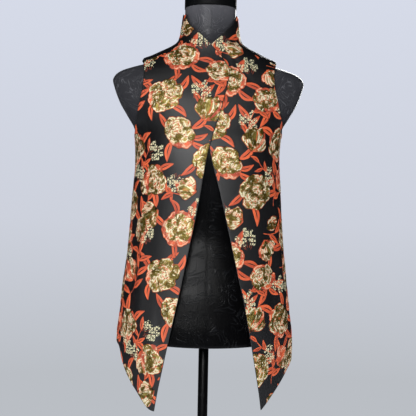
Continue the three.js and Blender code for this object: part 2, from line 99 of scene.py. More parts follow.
# Armhole: height, and the turn angles of the front panel's edge and the back panel's.
ARMHOLE = [
    (1205, 100, 100), (1206.5, 91, 106), (1210, 82, 111), (1215, 74.5, 114), (1222, 68.2, 118), (1243, 56.3, 130),
    (1262, 51.3, 134.6), (1277, 49, 136.5), (1298, 47.9, 137), (1319, 48.9, 135.6), (1332, 51.1, 132.8),
    (1347, 57.6, 124.5), (1357, 67.1, 113), (1360.5, 73.1, 104), (1361.7, 76.5, 91), (1363, 78, 78),
]
# Hems: turn angle and height.
UPPER_HEM = [(31.5, 681), (35, 683.5), (46.6, 717.8), (58.1, 751.2), (69.5, 783), (78, 797), (100, 803)]
LOWER_HEM = [(34, 681), (40.7, 700.4), (52.3, 731.8), (65, 757), (78, 776), (100, 793)]

# Folds: turn at the middle height, lean for each 100 mm up, width in degrees, bottom, top, height.
FOLDS = [
    (-45, -1, 5, 790, 1080, 3), (-57, 0, 6, 730, 1130, -4), (-72, 1, 7, 640, 960, -2.5), (-34, -1, 6, 600, 900, 2.5),
    (44, 0, 6, 800, 1100, -4), (56, 1, 5, 830, 1070, 3), (72, 0, 6, 620, 980, 3), (36, 1, 5, 600, 860, 2),
    (-12, 9, 5, 1270, 1410, -2), (15, -8, 5, 1290, 1420, -1.5), (118, 1, 8, 700, 1120, 4), (146, 2, 9, 720, 1180, -4),
    (178, 0, 10, 680, 1080, 3), (214, -2, 9, 730, 1160, -4), (243, -1, 8, 690, 1100, 4),
]
# Smaller creases that the pressed and worn cloth has besides.
CREASES = [
    (-64, 4, 2.6, 930, 1060, -1.3), (-50, -5, 2.4, 1010, 1120, 0.9), (-82, 2, 3, 840, 1000, 1.1),
    (-88, -3, 2.6, 1090, 1200, -0.9), (-38, 12, 3, 1210, 1300, 0.8), (-30, -2, 2.2, 760, 900, -0.8),
    (62, -3, 2.6, 940, 1070, -1.3), (50, 4, 2.4, 1020, 1130, 0.9), (84, -2, 3, 830, 1010, 1.2),
    (88, 4, 2.6, 1080, 1190, -0.9), (38, -10, 3, 1220, 1310, 0.8), (48, 2, 2.2, 730, 880, -0.8),
    (-22, 16, 2.4, 1300, 1400, -1.3), (24, -14, 2.6, 1290, 1395, -1.2), (108, 2, 4, 900, 1150, -1.4),
    (132, 3, 4.5, 860, 1120, 1.3), (160, 2, 4, 1150, 1330, -1.2), (198, -3, 4.5, 1140, 1320, 1.1),
    (228, -2, 4, 880, 1130, -1.4), (252, -3, 4, 910, 1140, 1.3), (190, 4, 3.4, 820, 1010, 0.9),
    (-44, -26, 3, 1170, 1255, -1.4), (-36, -22, 2.8, 1120, 1210, 1.0), (46, 24, 2.8, 1160, 1250, -1.3),
    (-74, -40, 3.2, 1012, 1068, -1.5), (-64, -34, 3, 975, 1036, 1.1), (-56, 30, 3, 1060, 1125, -1.1),
    (76, 38, 3.2, 1008, 1064, -1.5), (66, 34, 3, 978, 1036, 1.1), (58, -28, 3, 1065, 1130, -1.1),
    (150, 30, 4, 980, 1058, -1.7), (205, -32, 4, 986, 1064, -1.7), (135, 36, 3.5, 1022, 1086, 1.3),
    (222, -34, 3.5, 1015, 1082, 1.3), (172, 26, 4, 1040, 1110, -1.2), (147, -25, 3.5, 1176, 1272, -1.6),
    (213, 25, 3.5, 1172, 1268, -1.6), (158, -22, 3.2, 1120, 1200, 1.1), (201, 20, 3.2, 1125, 1210, 1.1),
]
# The plain strip over the shoulder: height, and how far ahead of the pole it reaches.
YOKE = [(1344, 40), (1352, 50), (1363, 56), (1376, 56), (1388, 47), (1400, 35)]
BUST = (27, 13, 1172, 42, 5)   # turn and its width, height and its width, and the push

# Rows and columns of each panel's grid: the step between rows and the number of columns.
FRONT_GRID = (1.5, 124)
BACK_GRID = (2.4, 165)
COLLAR_GRID = (1.5, 110)
FINE_ROWS = [(1205, 1224, 0.34), (1354, 1364, 0.5)]   # from, to, and the share of a full step


# ---- Curves and skins ----

def curve(rows, column=1):
    """A smooth function through two columns of a table that never overshoots its rows."""
    at = np.array([row[0] for row in rows], float)
    value = np.array([row[column] for row in rows], float)
    step = np.diff(value) / np.diff(at)
    before, after = step[:-1], step[1:]
    same = before * after > 0
    inner = np.where(same, 2 * before * after / np.where(same, before + after, 1), 0)
    slope = np.concatenate([step[:1], inner, step[-1:]])

    def value_at(x):
        x = np.clip(x, at[0], at[-1])
        i = np.clip(np.searchsorted(at, x) - 1, 0, len(at) - 2)
        span = at[i + 1] - at[i]
        t = (x - at[i]) / span
        start = (1 + 2 * t) * (1 - t) ** 2 * value[i] + t * (1 - t) ** 2 * span * slope[i]
        return start + t ** 2 * (3 - 2 * t) * value[i + 1] - t ** 2 * (1 - t) * span * slope[i + 1]

    return value_at


def ramp(x, low, high):
    t = np.clip((x - low) / (high - low), 0, 1)
    return t * t * (3 - 2 * t)


def bell(x):
    return np.exp(-x * x)


def sections(rows):
    return [curve(rows, column) for column in (1, 2, 3, 4)]


def on_section(shape, turn, z, push=0):
    """Points of a rounded oval at turn angles, 0 at the middle front and 90 on the +X side."""
    half, front, back, mid = shape
    side = SPREAD * np.sin(np.radians(turn))
    ahead = np.cos(np.radians(turn))
    depth = np.where(ahead > 0, front - mid, back + mid)
    size = (np.abs(side) / half) ** SQUARENESS + (np.abs(ahead) / depth) ** SQUARENESS
    reach = size ** (-1 / SQUARENESS) + push / np.hypot(side, ahead)
    return np.stack([reach * side, -mid - reach * ahead, z * np.ones_like(reach)], axis=-1)


def bust_push(turn, z):
    middle, width, height, tall, push = BUST
    both = bell((turn - middle) / width) + bell((turn + middle) / width)
    return both * bell((z - height) / tall) * push


def fold_push(folds, turn, z):
    push = 0
    for middle, lean, width, bottom, top, height in folds:
        along = np.clip((z - bottom) / (top - bottom), 0, 1)
        centre = middle + lean * (z - (bottom + top) / 2) / 100
        away = np.mod(turn - centre + 180, 360) - 180
        push = push + height * np.sin(np.pi * along) ** 2 * bell(away / width)
    return push


form_shape = sections(FORM_SECTIONS)
vest_shape = sections(VEST_SECTIONS)


def form_skin(turn, z):
    points = on_section([f(z) for f in form_shape], turn, z, bust_push(turn, z))
    points[..., 2] -= FORM_DIP * np.cos(np.radians(turn)) ** 2 * (1 - ramp(z, FORM_BOTTOM_Z, SKIRT_TOP_Z))
    return points


def vest_skin(turn, z):
    push = bust_push(turn, z) + fold_push(FOLDS, turn, z) + fold_push(CREASES, turn, z)
    return on_section([f(z) for f in vest_shape], turn, z, push)


def outward(skin, turn, z):
    step = 0.25
    across = skin(turn + step, z) - skin(turn - step, z)
    up = skin(turn, z + step) - skin(turn, z - step)
    way = np.cross(across, up)
    return way / np.linalg.norm(way, axis=-1, keepdims=True)


def turn_across(distance, z):
    """The turn angles on the front half whose points are given distances across the middle."""
    low = np.full(np.shape(z), -90.0)
    high = np.full(np.shape(z), 90.0)
    for _ in range(24):
        turn = (low + high) / 2
        short = vest_skin(turn, z)[..., 0] < distance
        low = np.where(short, turn, low)
        high = np.where(short, high, turn)
    return low


def degrees_for(distance, turn, z):
    return distance / np.linalg.norm(vest_skin(turn + 0.5, z) - vest_skin(turn - 0.5, z), axis=-1)


# ---- Panels: turn and height of each grid point ----

armhole_front = curve(ARMHOLE, 1)
armhole_back = curve(ARMHOLE, 2)


def heights(bottom, top, step):
    """Rows from bottom to top, closer together round the foot and head of the armhole."""
    z = [bottom]
    while z[-1] < top:
        share = min([share for low, high, share in FINE_ROWS if low <= z[-1] < high] or [1])
        z.append(z[-1] + step * share)
    z = np.array(z)
    return bottom + (z - bottom) * (top - bottom) / (z[-1] - bottom)


def spread_columns(start, end, columns):
    t = np.linspace(0, 1, columns)
    return start[:, None] + (end - start)[:, None] * t


def skirt(hem_turn, hem_z, top_turn, step):
    """Rows from the hem up to the skirt's top, each less slanted than the one below."""
    rows = int((SKIRT_TOP_Z - hem_z.min()) / step)
    t = np.arange(rows)[:, None] / rows
    return hem_turn + (top_turn - hem_turn) * t, hem_z + (SKIRT_TOP_Z - hem_z) * t


def front_grid(edge_table, hem_table, side):
    """A front's grid, from its free edge to the side seam and armhole; side is -1 or 1, the way of X."""
    step, columns = FRONT_GRID
    edge = curve(edge_table)
    hem = curve(hem_table)

    def limits(z):
        start = turn_across(side * -edge(z), z) * side
        start = start + degrees_for(ROUND, start * side, z)
        lower_trim = LOWER_ARMHOLE_TRIM * ramp(z, 1215, 1260) * (1 - ramp(z, 1330, SHOULDER_EDGE_Z))
        limit = armhole_front(z) - (lower_trim if side > 0 else 0)
        limit = np.where(z < SHOULDER_EDGE_Z, limit, SEAM_TURN)
        return start, limit - degrees_for(SEAM_ROOM, limit * side, z)

    z = heights(SKIRT_TOP_Z, FRONT_COLLAR_TOP_Z - ROUND, step)
    turn = spread_columns(*limits(z), columns)
    hem_foot = np.array([float(hem_table[0][1])])
    hem_start = turn_across(side * -edge(hem_foot), hem_foot) * side
    hem_start = hem_start + degrees_for(ROUND, hem_start * side, hem_foot)
    hem_turn = spread_columns(hem_start, turn[0, -1:], columns)[0]
    low_turn, low_z = skirt(hem_turn, hem(hem_turn) + ROUND, turn[0], step)
    turn = np.vstack([low_turn, turn]) * side
    z = np.vstack([low_z, np.repeat(z[:, None], columns, 1)])
    return (turn, z) if side > 0 else (turn[:, ::-1], z[:, ::-1])


def back_grid():
    step, columns = BACK_GRID

    def limits(z):
        limit = np.where(z < SHOULDER_EDGE_Z, armhole_back(z), SEAM_TURN)
        start = limit + degrees_for(SEAM_ROOM, limit, z)
        return start, 360 - start

    z = heights(SKIRT_TOP_Z, NECK_SEAM_Z - 0.3 - ROUND, step)
    turn = spread_columns(*limits(z), columns)
    hem_z = LOWER_HEM[-1][1] + (UPPER_HEM[-1][1] - LOWER_HEM[-1][1]) * ramp(turn[0], SIDE_TURN, 360 - SIDE_TURN)
    low_turn, low_z = skirt(turn[0], hem_z + ROUND, turn[0], step)
    return np.vstack([low_turn, turn]), np.vstack([low_z, np.repeat(z[:, None], columns, 1)])


def collar_grid():
    """A straight stand, level behind and a little lower where it meets the fronts' own collars."""
    step, columns = COLLAR_GRID
    rows = int((COLLAR_TOP_Z - NECK_SEAM_Z) / step)
    z = np.linspace(NECK_SEAM_Z + ROUND, COLLAR_TOP_Z - ROUND, rows)
    start = SEAM_TURN + degrees_for(SEAM_ROOM, np.full(rows, float(SEAM_TURN)), z)
    turn = spread_columns(start, 360 - start, columns)
    drop = (COLLAR_TOP_Z - FRONT_COLLAR_TOP_Z) * (1 - ramp(np.abs(turn[0] - 180), 102, 70))
    share = (z[:, None] - z[0]) / (z[-1] - z[0])
    return turn, z[:, None] - drop * share


def wrap_lift(turn, z):
    """How far the upper front stands off the body, where it lies over the lower one."""
    return WRAP_LIFT * ramp(turn, -50, -24) * ramp(z, 1050, 1150) * (1 - ramp(z, 1400, 1440))


def flat_of(turn, z, skin):
    """Where each point lies on the flat cloth: across from the middle front or back, and up."""
    points = skin(turn, z)
    step = np.linalg.norm(np.diff(points, axis=1), axis=-1)
    along = np.concatenate([np.zeros((len(turn), 1)), np.cumsum(step, axis=1)], axis=1)
    middle = 0 if abs(turn.mean()) < 90 else 180
    nearest = np.abs(turn - middle).argmin(axis=1)
    rows = np.arange(len(turn))
    near_turn = turn[rows, nearest]
    zero = along[rows, nearest] - (near_turn - middle) / degrees_for(1, near_turn, z[rows, nearest])
    up = z + 0.5 * (points[..., 1] + 95) * ramp(z, 1260, 1345) * (1 if middle == 0 else -1)
    return along - zero[:, None], up


# ---- The brocade's repeat ----

REPEAT = (300, 340)
FAR = -30.0            # how far outside counts as nowhere near a motif
LEAF_GAP = 0.9
STEM_HALF = 1.1
STALK_HALF = 0.9
STALK = 2              # the tone that marks a sprig's stalk, above those of stems
CORAL_PETAL = 2        # added to the tone of a petal that is coral throughout
# Roses: across, up, radius, turn of the petals, how much narrower they are one way, and how far the heart sits off.
ROSES = [
    (40, 300, 37, 0.3, 0.90, 0.12), (70, 228, 34, 2.2, 0.84, 0.20), (130, 176, 38, 4.0, 0.92, 0.08),
    (22, 140, 32, 5.2, 0.80, 0.26), (72, 48, 38, 1.1, 0.93, 0.10), (150, 14, 33, 3.1, 0.82, 0.22),
    (196, 268, 37, 5.8, 0.90, 0.15), (254, 200, 35, 0.9, 0.82, 0.22), (232, 92, 38, 2.8, 0.92, 0.08),
    (284, 44, 24, 4.4, 0.78, 0.20), (176, 116, 20, 0.6, 0.72, 0.22),
]
# Roses seen from the side, fans of long petals: across, up, length, direction in degrees.
FANS = [(118, 250, 52, 70), (262, 284, 50, 120), (196, 184, 46, 40), (30, 82, 46, 200), (150, 84, 44, -60),
        (206, 18, 50, 20), (104, 118, 40, 160), (290, 150, 44, 300)]
FAN_SPREAD = (-0.95, 0.95, -0.65, 0.65, -0.38, 0.38, -0.13, 0.15)   # its petals, the lowest first
# Rings of petals from the outermost in: how many, how far out, how big, and the turn of the ring.
PETAL_RINGS = [
    (6, 0.60, 0.40, 0.0), (5, 0.42, 0.36, 0.5), (4, 0.27, 0.29, 1.3), (3, 0.13, 0.21, 2.1), (1, 0.02, 0.13, 0.0),
]
# Leaves that stand out from behind the roses: which rose, direction in degrees, length.
ROSE_LEAVES = [
    (0, 15, 40), (0, 75, 34), (0, 150, 42), (0, 215, 36), (0, 300, 38), (1, 20, 44), (1, 160, 36), (1, 235, 40),
    (1, 330, 34), (2, 50, 40), (2, 110, 34), (2, 190, 38), (2, 255, 44), (2, 340, 42), (3, 70, 34), (3, 130, 38),
    (3, 250, 42), (3, 325, 36), (4, 35, 42), (4, 95, 36), (4, 170, 40), (4, 245, 34), (4, 310, 40), (5, 45, 36),
    (5, 120, 40), (5, 285, 42), (5, 350, 34), (6, 5, 40), (6, 80, 36), (6, 140, 44), (6, 250, 38), (6, 310, 40),
    (7, 20, 38), (7, 95, 42), (7, 200, 34), (7, 280, 44), (8, 60, 38), (8, 130, 40), (8, 215, 42), (8, 290, 36),
    (8, 345, 40),
]
# Sprays: foot across and up, direction in degrees, length, bend, number of leaves, their length.
SPRAYS = [
    (112, 252, 78, 92, 10, 6, 36), (150, 96, 15, 70, -8, 4, 32), (178, 150, 62, 74, 9, 5, 34),
    (92, 112, 160, 64, 8, 4, 30), (262, 262, 72, 84, -10, 6, 34), (196, 30, -20, 66, 8, 4, 32),
    (16, 62, 100, 56, 6, 4, 28), (118, 330, 10, 62, -8, 4, 30), (288, 130, 80, 66, 9, 5, 30),
    (172, 210, 150, 44, 5, 3, 26), (290, 20, 95, 60, -7, 4, 32),
]
# Sprigs of tiny flowers: across, up, direction in degrees, reach.
SPRIGS = [
    (98, 286, 60, 48), (222, 156, 20, 46), (116, 60, 100, 46), (296, 188, 15, 44), (238, 312, 100, 46),
    (178, 318, 60, 42), (10, 14, 110, 42), (72, 156, 250, 44), (186, 214, 200, 40), (262, 134, 60, 38),
]
# A sprig's branches: lean in radians and share of its reach. Each ends in a cluster of flowers.
SPRIG_BRANCHES = [(0.04, 1.0), (-0.52, 0.74), (0.55, 0.8), (-0.26, 0.92), (0.32, 0.66)]
CLUSTER_HALF = 6.2


def nearest_copy(points, centre):
    """Offsets from the nearest repeat of a place in the pattern."""
    away = points - np.array(centre, float)
    return away - np.round(away / REPEAT) * REPEAT


def turned_by(away, angle):
    c, s = math.cos(angle), math.sin(angle)
    return away[:, 0] * c + away[:, 1] * s, away[:, 1] * c - away[:, 0] * s


class Field:
    """For each point: how far it is inside the best motif of a kind, in millimetres, and its place in that motif."""

    def __init__(self, count):
        self.inside = np.full(count, FAR)
        self.place = np.zeros((count, 3))

    def lay(self, inside, x, y, tone, gap=None):
        """With a gap, the new motif lies on top and a line of ground shows round it."""
        if gap is not None:
            self.inside = np.minimum(self.inside, -inside - gap)
        better = inside > self.inside
        self.inside[better] = inside[better]
        self.place[better] = np.stack([x[better], y[better], np.full(better.sum(), tone)], axis=-1)

    def lay_over(self, depth, aside, tone):
        """A petal over whatever lies there. Its place is how far in from its rim, across it, and its tone."""
        on_it = depth > 0
        self.place[on_it] = np.stack([depth[on_it], aside[on_it], np.full(on_it.sum(), tone)], axis=-1)
        self.inside = np.maximum(self.inside, np.maximum(depth, FAR))


def in_strip(along, aside, start, end, half):
    """How far inside a round-ended strip of a half width, from start to end along it."""
    beyond = np.maximum(np.maximum(start - along, along - end), 0)
    return np.maximum(half - np.hypot(aside, beyond), FAR)


def in_blade(t, aside, length, width):
    """How far inside a blade whose half width is given at each share t of its length."""
    beyond = np.maximum(-t, t - 1) * length
    return np.where(beyond > 0, -np.hypot(beyond, aside), width - np.abs(aside))


def lay_leaf(leaves, away, angle, length, tone, bend):
    """A pointed leaf from its foot: its place runs from 0 to 1 along it and from -1 to 1 across."""
    along, across = turned_by(away, angle)
    t = along / length
    across = across - bend * length * np.sin(np.pi * np.clip(t, 0, 1))
    width = 0.158 * length * np.sin(np.pi * np.clip(t, 0, 1) ** 0.8) ** 0.85 + 0.01
    leaves.lay(np.maximum(in_blade(t, across, length, width), FAR), t, across / width, tone, LEAF_GAP)


def lay_rose(roses, points, rose, draw):
    """Rings of overlapping petals with wavy rims, the heart on top."""
    across, up, radius, angle, narrow, off = rose
    x, y = turned_by(nearest_copy(points, (across, up)) / radius, angle)
    y = y / narrow
    for ring, (petals, out, size, turn) in enumerate(PETAL_RINGS):
        for i in range(petals):
            way = turn + 2 * math.pi * (i + draw.uniform(-0.18, 0.18)) / petals
            reach = out * draw.uniform(0.9, 1.1)
            broad = size * draw.uniform(0.9, 1.12)
            wave = draw.uniform(0, 6)
            tone = draw.random() + (CORAL_PETAL if ring == 0 and draw.random() < 0.24 else 0)
            px = x - reach * math.cos(way) - off * ring / 4
            py = y - reach * math.sin(way)
            along = px * math.cos(way) + py * math.sin(way)
            aside = py * math.cos(way) - px * math.sin(way)
            bearing = np.arctan2(aside, along)
            rim = broad * (1.06 + 0.07 * np.cos(3 * bearing + wave) + 0.04 * np.cos(7 * bearing - wave)
                           + 0.025 * np.cos(12 * bearing + 2 * wave))
            depth = (rim - np.hypot(along * 1.15, aside * 0.92)) * radius
            roses.lay_over(depth, aside * radius, tone)


def lay_fan(roses, points, fan, draw):
    """A rose from the side: long petals spread from its foot, the middle ones on top."""
    across, up, length, direction = fan
    away = nearest_copy(points, (across, up))
    for spread in FAN_SPREAD:
        reach = length * (1.02 - 0.25 * abs(spread)) * draw.uniform(0.92, 1.06)
        along, aside = turned_by(away, math.radians(direction) + spread * 0.85)
        t = along / reach
        aside = aside + 3 * spread * np.sin(np.pi * np.clip(t, 0, 1))
        width = 0.2 * length * np.sin(np.pi * np.clip(t, 0, 1) ** 1.5) ** 0.6
        width = width * (1 + 0.08 * np.cos(9 * t + spread * 5))
        tone = draw.random() + (CORAL_PETAL if draw.random() < 0.2 else 0)
        roses.lay_over(in_blade(t, aside, reach, width), aside, tone)


def lay_rose_leaf(leaves, points, rose_leaf, draw):
    rose, direction, length = rose_leaf
    across, up, radius, _, narrow, _ = ROSES[rose]
    angle = math.radians(direction)
    foot = (across + math.cos(angle) * radius * 0.72, up + math.sin(angle) * radius * 0.72 * narrow)
    lean = angle + draw.choice([-1, 1]) * draw.uniform(0.25, 0.85)
    lay_leaf(leaves, nearest_copy(points, foot), lean, length, draw.random(), draw.uniform(-0.16, 0.16))


def lay_spray(stems, leaves, points, spray, draw):
    """A bowed stem with leaves to either side in turn and one at its tip."""
    across, up, direction, length, bend, leaf_count, leaf = spray
    angle = math.radians(direction)
    c, s = math.cos(angle), math.sin(angle)
    along, side = turned_by(nearest_copy(points, (across, up)), angle)
    t = along / length
    side = side - bend * 4 * t * (1 - t)
    stems.lay(in_strip(along, side, 0, length, STEM_HALF), side, along, draw.random())
    for i in range(leaf_count):
        at = (i + 0.9) / leaf_count
        x, y = at * length, bend * 4 * at * (1 - at)
        foot = nearest_copy(points, (across + x * c - y * s, up + x * s + y * c))
        turn = 0 if i == leaf_count - 1 else (0.75 if i % 2 else -0.75) + draw.uniform(-0.2, 0.2)
        size = leaf * draw.uniform(0.8, 1.1)
        lay_leaf(leaves, foot, angle + turn, size, draw.random(), draw.uniform(-0.1, 0.1))


def lay_sprig(sprigs, stems, points, sprig, draw):
    """Branches that fan out from one foot, each a short stalk and a strip to be filled with tiny flowers."""
    across, up, direction, reach = sprig
    away = nearest_copy(points, (across, up))
    for lean, share in SPRIG_BRANCHES:
        length = reach * share * draw.uniform(0.9, 1.1)
        along, off = turned_by(away, math.radians(direction) + lean)
        t = np.clip(along / length, 0, 1)
        off = off - lean * 14 * t * (1 - t)
        sprigs.lay(in_strip(along, off, 0.55 * length, 0.92 * length, CLUSTER_HALF), along, off, 0)
        stems.lay(in_strip(along, off, 0.24 * length, 0.7 * length, STALK_HALF), off * 2.6, along, STALK)


def lay_pattern(points):
    """All the pattern's fields at places on the flat cloth."""
    roses, leaves, stems, sprigs = (Field(len(points)) for _ in range(4))
    draw = np.random.default_rng(11)
    for fan in FANS:
        lay_fan(roses, points, fan, draw)
    for rose in ROSES:
        lay_rose(roses, points, rose, draw)
    for rose_leaf in ROSE_LEAVES:
        lay_rose_leaf(leaves, points, rose_leaf, draw)
    for spray in SPRAYS:
        lay_spray(stems, leaves, points, spray, draw)
    for sprig in SPRIGS:
        lay_sprig(sprigs, stems, points, sprig, draw)
    return roses, leaves, stems, sprigs


# ---- Shells of cloth ----

def set_fields(mesh, fields):
    for name, values in fields.items():
        layer = mesh.attributes.new(name, "FLOAT_VECTOR", "POINT")
        layer.data.foreach_set("vector", np.ascontiguousarray(values, dtype=np.float32).ravel())


def set_flat(mesh, flat):
    """The flat cloth's own measures, in metres, as the piece's UV map."""
    corner = np.zeros(len(mesh.loops), dtype=np.int32)
    mesh.loops.foreach_get("vertex_index", corner)
    layer = mesh.uv_layers.new(name="flat")
    layer.data.foreach_set("uv", np.ascontiguousarray(flat[corner], dtype=np.float32).ravel())


def make_piece(name, points, faces, finishes, flat, fields, finish_of=None):
    """A smooth-shaded piece in the scene. Without finish_of, every face has the first finish."""
    mesh = bpy.data.meshes.new(name)
    mesh.from_pydata((np.asarray(points) * MM).tolist(), [], faces)
    for finish in finishes:
        mesh.materials.append(finish)
    if finish_of is not None:
        mesh.polygons.foreach_set("material_index", np.array(finish_of, dtype=np.int32))
    mesh.polygons.foreach_set("use_smooth", np.ones(len(mesh.polygons), dtype=bool))
    set_flat(mesh, np.asarray(flat) * MM)
    set_fields(mesh, fields)
    mesh.update()
    piece = bpy.data.objects.new(name, mesh)
    bpy.context.scene.collection.objects.link(piece)
    return piece


def border_of(rows, columns):
    """Grid places once round the edge: along the bottom, up, back along the top and down."""
    bottom = [(0, c) for c in range(columns - 1)]
    right = [(r, columns - 1) for r in range(rows - 1)]
    top = [(rows - 1, c) for c in range(columns - 1, 0, -1)]
    left = [(r, 0) for r in range(rows - 1, 0, -1)]
    return bottom + right + top + left


EDGE_STEPS = (45, 0, -45, -90)         # degrees round the turned edge, from outside to inside
INSIDE_ROWS, INSIDE_COLUMNS = 4, 3     # of the outside's rows and columns, each so many has one inside


def shell(name, turn, z, finishes, lift, raised, flat, fields):
    """A cloth wall with a fine outside, a turned round edge and a coarser inside."""
    rows, columns = turn.shape
    skin = vest_skin(turn, z)
    out = outward(vest_skin, turn, z)
    from_start = np.minimum(*np.ogrid[:rows, :columns])
    from_edge = np.minimum(from_start, from_start[::-1, ::-1])
    outer = skin + out * (lift + raised * np.clip(from_edge / 2, 0, 1))[..., None]
    border = border_of(rows, columns)
    at = tuple(np.array(border).T)
    edge, way = outer[at], out[at]
    along = np.roll(edge, -1, axis=0) - np.roll(edge, 1, axis=0)
    beyond = np.cross(along, way)
    beyond /= np.linalg.norm(beyond, axis=1, keepdims=True)
    middle = edge - way * ROUND
    rings = []
    for angle in EDGE_STEPS:
        a = math.radians(angle)
        rings.append(middle + ROUND * (beyond * math.cos(a) + way * math.sin(a)))
    row_places = sorted({*range(0, rows, INSIDE_ROWS), rows - 1})
    column_places = sorted({*range(0, columns, INSIDE_COLUMNS), columns - 1})
    inside_rows, inside_columns = row_places[1:-1], column_places[1:-1]
    inner = (skin + out * (lift[..., None] - CLOTH))[np.ix_(inside_rows, inside_columns)]
    points = np.concatenate([outer.reshape(-1, 3), *rings, inner.reshape(-1, 3)])

    grid = np.arange(rows * columns).reshape(rows, columns)
    quads = np.stack([grid[:-1, :-1], grid[:-1, 1:], grid[1:, 1:], grid[1:, :-1]], axis=-1).reshape(-1, 4)
    around = len(border)
    loops = [grid[at]] + [rows * columns + k * around + np.arange(around) for k in range(len(rings))]
    strips = []
    for near, far in zip(loops, loops[1:]):
        strips.append(np.stack([np.roll(near, -1), near, far, np.roll(far, -1)], axis=-1))
    faces = quads.tolist() + np.concatenate(strips).tolist()
    outside_faces = len(faces)

    on_ring = {place: int(loops[-1][i]) for i, place in enumerate(border)}
    first_inner = rows * columns + len(rings) * around
    for j, r in enumerate(inside_rows):
        for i, c in enumerate(inside_columns):
            on_ring[(r, c)] = first_inner + j * len(inside_columns) + i
    for low, high in zip(row_places, row_places[1:]):
        for near, far in zip(column_places, column_places[1:]):
            bottom = range(near, far) if low == 0 else [near]
            right = range(low, high) if far == columns - 1 else [low]
            top = range(far, near, -1) if high == rows - 1 else [far]
            left = range(high, low, -1) if near == 0 else [high]
            walk = [(low, c) for c in bottom] + [(r, far) for r in right]
            walk += [(high, c) for c in top] + [(r, near) for r in left]
            faces.append([on_ring[place] for place in reversed(walk)])

    def spread(values):
        """The grid's values for every point: outside, round the edge and inside."""
        inner_values = values[np.ix_(inside_rows, inside_columns)].reshape(-1, values.shape[-1])
        return np.concatenate([values.reshape(-1, values.shape[-1]), *[values[at]] * len(rings), inner_values])

    finish_of = [0] * outside_faces + [1] * (len(faces) - outside_faces)
    laid = {key: spread(values) for key, values in fields.items()}
    return make_piece(name, points, faces, finishes, spread(np.stack(flat, axis=-1)), laid, finish_of)


# ---- Paint: materials from nodes ----

FLOWERS_PER_METRE = 205


class Wire:
    """One value on its way through a material's nodes, with sums written as plain sums."""

    def __init__(self, paint, socket):
        self.paint = paint
        self.socket = socket

    def sum(self, operation, *others):
        return self.paint.add("ShaderNodeMath", {"operation": operation}, dict(enumerate([self, *others])))

    def __add__(self, other):
        return self.sum("ADD", other)

    def __sub__(self, other):
        return self.sum("SUBTRACT", other)

    def __mul__(self, other):
        return self.sum("MULTIPLY", other)

    def __rsub__(self, other):
        return self.paint.add("ShaderNodeMath", {"operation": "SUBTRACT"}, {0: other, 1: self})

    def __abs__(self):
        return self.sum("ABSOLUTE")

    __radd__ = __add__
    __rmul__ = __mul__

    def sine(self):
        return self.sum("SINE")

    def least(self, other):
        return self.sum("MINIMUM", other)

    def most(self, other):
        return self.sum("MAXIMUM", other)

    def ease(self, low, high):
        """0 at low, 1 at high, smooth between."""
        settings = {"interpolation_type": "SMOOTHSTEP"}
        return self.paint.add("ShaderNodeMapRange", settings, {"Value": self, "From Min": low, "From Max": high})


